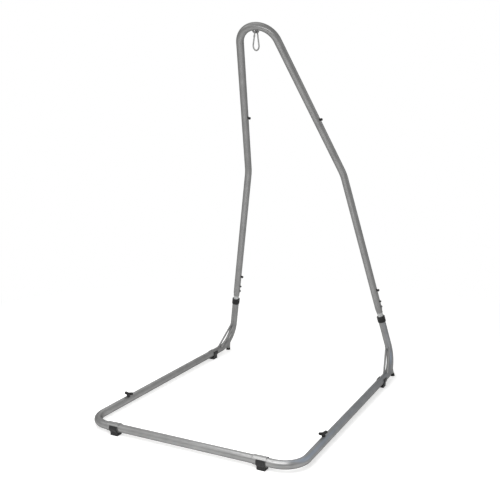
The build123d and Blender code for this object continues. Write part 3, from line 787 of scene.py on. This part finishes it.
def makeButton(name, here):
    bm = bmesh.new()
    size, high = button["radius"], tube["radius"] + button["standOut"]
    low, rim = button["low"], button["flange"]
    ledge, crown = low + button["flangeHeight"], size * button["domeShare"]
    angles = [pi / 2 * step / button["domeSteps"] for step in range(button["domeSteps"])]
    dome = [(size * cos(angle), high - crown + crown * sin(angle)) for angle in angles]
    profile = [(0, low), (rim, low), (rim, ledge), (size, ledge)] + dome + [(0, high)]
    addTo(bm, turned(profile), here)
    body, nodes = name + "_button", [name + "_button"]
    finishPiece(name + "Button", bm, body, "black_plastic", nodes, button["bevel"], sharp=button["sharp"])


def makeLegFixings(name, side):
    rise, top, out = legWay(side), topWay(side), fixingSide(side)
    here = placed(onLeg(side, leg["screw"]), rise, out)
    makeThumbHead(name + "LegScrew", name + "_leg_screw", name + "_leg_screw_head", here)
    here = placed(onTop(side, tube["bowSeam"] + leg["bowScrew"][name]), top, out)
    makeThumbHead(name + "BowScrew", name + "_bow_screw", name + "_bow_screw_head", here)
    here = placed(onLeg(side, leg["bolt"]), rise, out)
    makeLegBolt(name, here @ Matrix.Translation((0, 0, tube["radius"])))
    makeButton(name, placed(onLeg(side, leg["button"]), rise, out))


for name, side in handed.items():
    makeLegFixings(name, side)
print("stage: screws, bolts and buttons fitted")

eye = {
    "wire": 0.0045, "sides": 32, "halfWidth": 0.015, "gap": 0.010, "bend": 0.010, "bendSteps": 14,
    "bury": 0.008, "bead": 0.0022, "beadPoints": 32,
}
hook = {
    "wire": 0.00375, "sides": 32, "length": 0.103, "topBend": 0.0105, "topSteps": 14,
    "bottomBend": 0.0225, "bottomSteps": 18, "turn": 13.0, "play": 0.0003,
    "endShare": 0.86, "endEdge": 0.0006, "bevel": 0.0004, "sharp": 50,
    "gateRadius": 0.00375, "gateShare": 0.8,
    "tangWidth": 0.0065, "tangThickness": 0.003, "noseLength": 0.007,
    "pinFromShoulder": 0.006, "pinRadius": 0.0015, "pinSteps": 24,
    "rivetHeight": 0.0004, "rivetFoot": 1.5, "rivetTop": 1.3,
}
kneesMiddle = (kneeCorner(-1) + kneeCorner(1)) / 2
bowDown = heading(peak, kneesMiddle)
halfPeak = bowDown.angle(heading(peak, kneeCorner(1)))
bowTop = peak + bowDown * (tube["bowBend"] / sin(halfPeak) - tube["bowBend"])
eyeMiddle = bowTop + bowDown * (tube["radius"] + eye["gap"] + eye["wire"])


def makeEye():
    bm = bmesh.new()
    sideStep, bend, steps = barWay * eye["halfWidth"], eye["bend"], eye["bendSteps"]
    root = bowTop + bowDown * eye["bury"]
    run = tubeRun(bm, root - sideStep, bowDown, eye["wire"], eye["sides"]).cap()
    run.goTo(eyeMiddle - bowDown * bend).bend(barWay, bend, steps)
    run.goTo(eyeMiddle + sideStep - barWay * bend).bend(-bowDown, bend, steps)
    run.goTo(root).cap()
    for eyeSide in (-1, 1):
        place = bowTop + sideStep * eyeSide
        line = jointLine(place, bowDown, eye["wire"], bowTop, barWay, tube["radius"], eye["beadPoints"])
        weldBead(bm, line, eye["bead"])
    finishPiece("hangingEye", bm, "upper_frame", "frame_paint", ["hanging_eye"])


def makeHook():
    wire, topBend, bottomBend = hook["wire"], hook["topBend"], hook["bottomBend"]
    span = hook["length"] - 2 * wire - topBend - bottomBend
    lean = (bottomBend - topBend) / span
    normal = Vector((sqrt(1 - lean ** 2), lean, 0))
    sideHigh = normal * topBend
    sideLow = Vector((0, -span, 0)) + normal * bottomBend
    way = heading(sideHigh, sideLow)
    other = Vector((-way.x, way.y, 0))
    shoulder = sideHigh + way * ((sideLow - sideHigh).length * (1 - hook["gateShare"]))
    pin = shoulder + way * hook["pinFromShoulder"]
    drop = topBend - wire - eye["wire"] - hook["play"]
    turn = radians(hook["turn"])
    across = Vector((-sin(turn), -cos(turn), 0))
    here = placed(eyeMiddle - up * drop, across, across.cross(up))  # x across the pear, y up

    bm = bmesh.new()
    endRadius, endEdge = wire * hook["endShare"], hook["endEdge"]
    run = tubeRun(bm, shoulder, -way, endRadius, hook["sides"]).cap().go(endEdge, wire)
    run.goTo(sideHigh)
    for bendWay in (-barWay, other):
        run.bend(bendWay, topBend, hook["topSteps"])
    run.goTo(Vector((-sideLow.x, sideLow.y, 0)))
    for bendWay in (barWay, -way):
        run.bend(bendWay, bottomBend, hook["bottomSteps"])
    run.go(endEdge, endRadius).cap()
    tangEnd = pin + way * (hook["tangWidth"] / 2)
    noseEnd = sideLow - way * hook["noseLength"]
    tongues = ((shoulder - way * wire, tangEnd), (noseEnd, sideLow + way * wire))  # hinge tang and nose
    for start, end in tongues:
        flat = slab(((end - start).length, hook["tangWidth"], hook["tangThickness"]))
        addTo(bm, flat, placed((start + end) / 2, way, up))
    bmesh.ops.transform(bm, matrix=here, verts=bm.verts)
    bevel, sharp = hook["bevel"], hook["sharp"]
    finishPiece("snapHook", bm, "hook", "zinc_steel", ["snap_hook"], bevel, sharp=sharp, finish=hookFinish)

    shank, half = hook["pinRadius"], hook["gateRadius"]
    top, wide, tip = half + hook["rivetHeight"], shank * hook["rivetFoot"], shank * hook["rivetTop"]
    bm = turned([
        (0, -top), (tip, -top), (wide, -half), (shank, -half),
        (shank, half), (wide, half), (tip, top), (0, top)], hook["pinSteps"])
    bmesh.ops.transform(bm, matrix=here @ Matrix.Translation(pin), verts=bm.verts)
    finishPiece("gatePin", bm, "hook", "zinc_steel", ["gate_pin"], finish=hookFinish)


makeEye()
makeHook()
print("stage: eye and snap hook hung")

studio = {
    "floor": 0.86, "floorSize": 60.0, "clearFrom": 1.5, "clearTo": 3.0,
    "floorGlow": 0.42, "glossGlow": 0.165,  # for rays from the camera and from gloss
    "worldLight": 0.52, "glossSky": 0.35, "tint": (1.0, 0.995, 0.975),
}
lamps = {  # place, aim, size in metres, power in watts, tint
    "keyLamp": ((0.4, -2.3, 1.8), (0.1, -1.3, 0.0), (2.4, 1.2), 28.0, (1.0, 1.0, 1.0)),
    "topLamp": ((-1.1, -1.0, 6.2), (0, 0, 0.6), (4.2, 4.2), 40.0, (1.0, 1.0, 0.99)),
    "frontLamp": ((-2.8, -4.5, 2.9), (0, 0, 0.5), (2.2, 3.6), 11.0, (1.0, 1.0, 0.99)),
    "leftLamp": ((-3.9, -2.3, 4.0), (0, 0, 0.9), (2.4, 2.4), 18.0, (1.0, 1.0, 0.99)),
    "baseLamp": ((0.2, -0.9, 1.2), (0.1, -0.7, 0), (1.0, 1.4), 10.5, (1.0, 1.0, 1.0)),
    "backLamp": ((-2.7, 3.7, 4.2), (0, 0, 0.6), (3.4, 2.6), 30.0, (1.0, 1.0, 1.0)),
    "rightLamp": ((4.4, 3.1, 2.2), (0, 0, 0.4), (2.4, 1.8), 8.0, (0.97, 0.99, 1.0)),
    "railLamp": ((0.95, 0.0, 0.55), (0.56, 0.0, 0.04), (1.2, 1.3), 2.4, (0.20, 0.52, 1.0)),
}
railLit = ("rightRearTube", "rightFrontCorner")  # all that the tinted lamp lights
view = {  # angles in degrees, focal length in pixels of the image
    "place": (1.7334, -3.4040, 1.5124), "yaw": 27.373, "pitch": 10.22, "roll": -0.189,
    "focal": 741.18, "image": 500, "sensor": 36.0, "clipEnd": 200.0,
}


def rayKinds(line, *kinds):  # 1 for rays of a kind and 0 for others
    path = line.node("LightPath").out.node
    return [nodeLine(line.tree, path.outputs[kind]) for kind in kinds]


def makeFloor():  # white floor that keeps the shadow near the stand and fades to clear white
    bm = bmesh.new()
    bmesh.ops.create_grid(bm, x_segments=1, y_segments=1, size=studio["floorSize"])
    mesh = bpy.data.meshes.new("floor")
    bm.to_mesh(mesh)
    bm.free()
    floor = bpy.data.objects.new("floor", mesh)
    bpy.context.scene.collection.objects.link(floor)
    material = bpy.data.materials.new("floorWhite")
    material.use_nodes = True
    tree = material.node_tree
    tree.nodes.clear()
    line = nodeLine(tree)
    camera, glossy = rayKinds(line, "Is Camera Ray", "Is Glossy Ray")
    place = line.node("TexCoord", output=3)
    reach = line.node("VectorMath", {"operation": "LENGTH"}, {0: place}, output=1)
    far = line.node("MapRange", None, {0: reach, 1: studio["clearFrom"], 2: studio["clearTo"]})
    white = line.node("BsdfDiffuse", None, {"Color": shade(studio["floor"])})
    strength = camera * studio["floorGlow"] + glossy * studio["glossGlow"]
    glow = line.node("Emission", None, {"Color": shade(1.0), "Strength": strength})
    near = line.node("AddShader", None, {0: white, 1: glow})
    clear = line.node("Emission", None, {"Color": shade(1.0), "Strength": 1.0})
    both = line.node("MixShader", None, {0: far * camera, 1: near, 2: clear})
    out = tree.nodes.new("ShaderNodeOutputMaterial")
    tree.links.new(both.out, out.inputs["Surface"])
    mesh.materials.append(material)


def makeWorld():
    world = bpy.data.worlds.new("studio")
    bpy.context.scene.world = world
    world.use_nodes = True
    tree = world.node_tree
    tree.nodes.clear()
    line = nodeLine(tree)
    camera, clear, glossy = rayKinds(line, "Is Camera Ray", "Is Transmission Ray", "Is Glossy Ray")
    seen = camera + clear + glossy * studio["glossSky"]
    warm = shade(1.0, studio["tint"])
    lit = line.node("Background", None, {"Color": warm, "Strength": studio["worldLight"]})
    shown = line.node("Background", None, {"Color": shade(1.0), "Strength": 1.0})
    both = line.node("MixShader", None, {0: seen, 1: lit, 2: shown})
    out = tree.nodes.new("ShaderNodeOutputWorld")
    tree.links.new(both.out, out.inputs["Surface"])


def makeLamp(name, place, target, size, power, tint):
    lamp = bpy.data.lights.new(name, "AREA")
    lamp.shape = "RECTANGLE"
    lamp.size, lamp.size_y = size
    lamp.energy = power
    lamp.color = tint
    item = bpy.data.objects.new(name, lamp)
    item.visible_camera = False
    item.location = place
    item.rotation_euler = (Vector(target) - Vector(place)).to_track_quat("-Z", "Y").to_euler()
    bpy.context.scene.collection.objects.link(item)


def limitRailLamp():  # keeps the tint off the floor
    lit = bpy.data.collections.new("railLit")
    for name in railLit:
        lit.objects.link(bpy.data.objects[name])
    bpy.data.objects["railLamp"].light_linking.receiver_collection = lit


def makeCamera():
    camera = bpy.data.cameras.new("camera")
    camera.sensor_width = view["sensor"]
    camera.lens = view["sensor"] * view["focal"] / view["image"]
    camera.clip_end = view["clipEnd"]
    item = bpy.data.objects.new("camera", camera)
    turn = Matrix.Rotation(radians(view["yaw"]), 4, "Z")
    turn = turn @ Matrix.Rotation(radians(90 - view["pitch"]), 4, "X")
    turn = turn @ Matrix.Rotation(radians(view["roll"]), 4, "Z")
    item.matrix_world = Matrix.Translation(view["place"]) @ turn
    bpy.context.scene.collection.objects.link(item)
    bpy.context.scene.camera = item


makeFloor()
makeWorld()
for name, settings in lamps.items():
    makeLamp(name, *settings)
limitRailLamp()
makeCamera()
bpy.context.scene.view_settings.view_transform = "Standard"
print("stage: studio lit")
